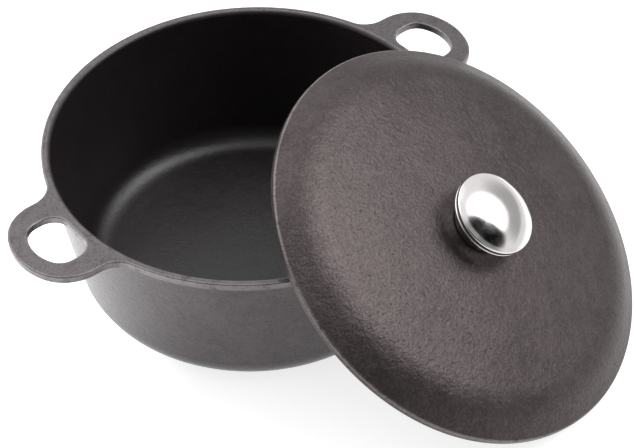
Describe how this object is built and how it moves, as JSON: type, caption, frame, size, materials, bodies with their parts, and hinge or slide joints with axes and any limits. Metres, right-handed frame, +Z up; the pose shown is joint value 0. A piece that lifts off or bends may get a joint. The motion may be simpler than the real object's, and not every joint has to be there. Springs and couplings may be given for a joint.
{
  "type": "cast iron dutch oven",
  "caption": "Round cast iron casserole pot with loop handles at rim height, and a domed lid with a steel knob leaning against its rim.",
  "frame": {"origin": "centre of the pot's base, on the surface that it stands on", "axes": "+Z up; +X through one handle loop, -X through the other; the lid leans on the -Y and +X side of the rim"},
  "size_m": [0.3569, 0.3733, 0.1519],
  "materials": {
    "pot_iron": "seasoned, fine sand-cast grain, satin",
    "lid_iron": "seasoned, fine sand-cast grain, satin",
    "polished_steel": "mirror-polished stainless steel",
    "plain_steel": "plain zinc-free stainless fastener steel",
    "gasket": "matt heat-resistant gasket"
  },
  "bodies": {
    "pot": {"pot_body": "pot_iron"},
    "lid": {"lid": "lid_iron", "knob_gasket": "gasket", "knob_base": "polished_steel", "knob_bush": "plain_steel", "knob_cap": "polished_steel", "flat_washer": "plain_steel", "spring_washer": "plain_steel", "lid_screw": "plain_steel"}
  },
  "joints": [
    {"name": "lid_lift", "type": "slide", "parent": "pot", "child": "lid", "axis": [0, 0, 1], "range_m": [0, 0.15]}
  ]
}
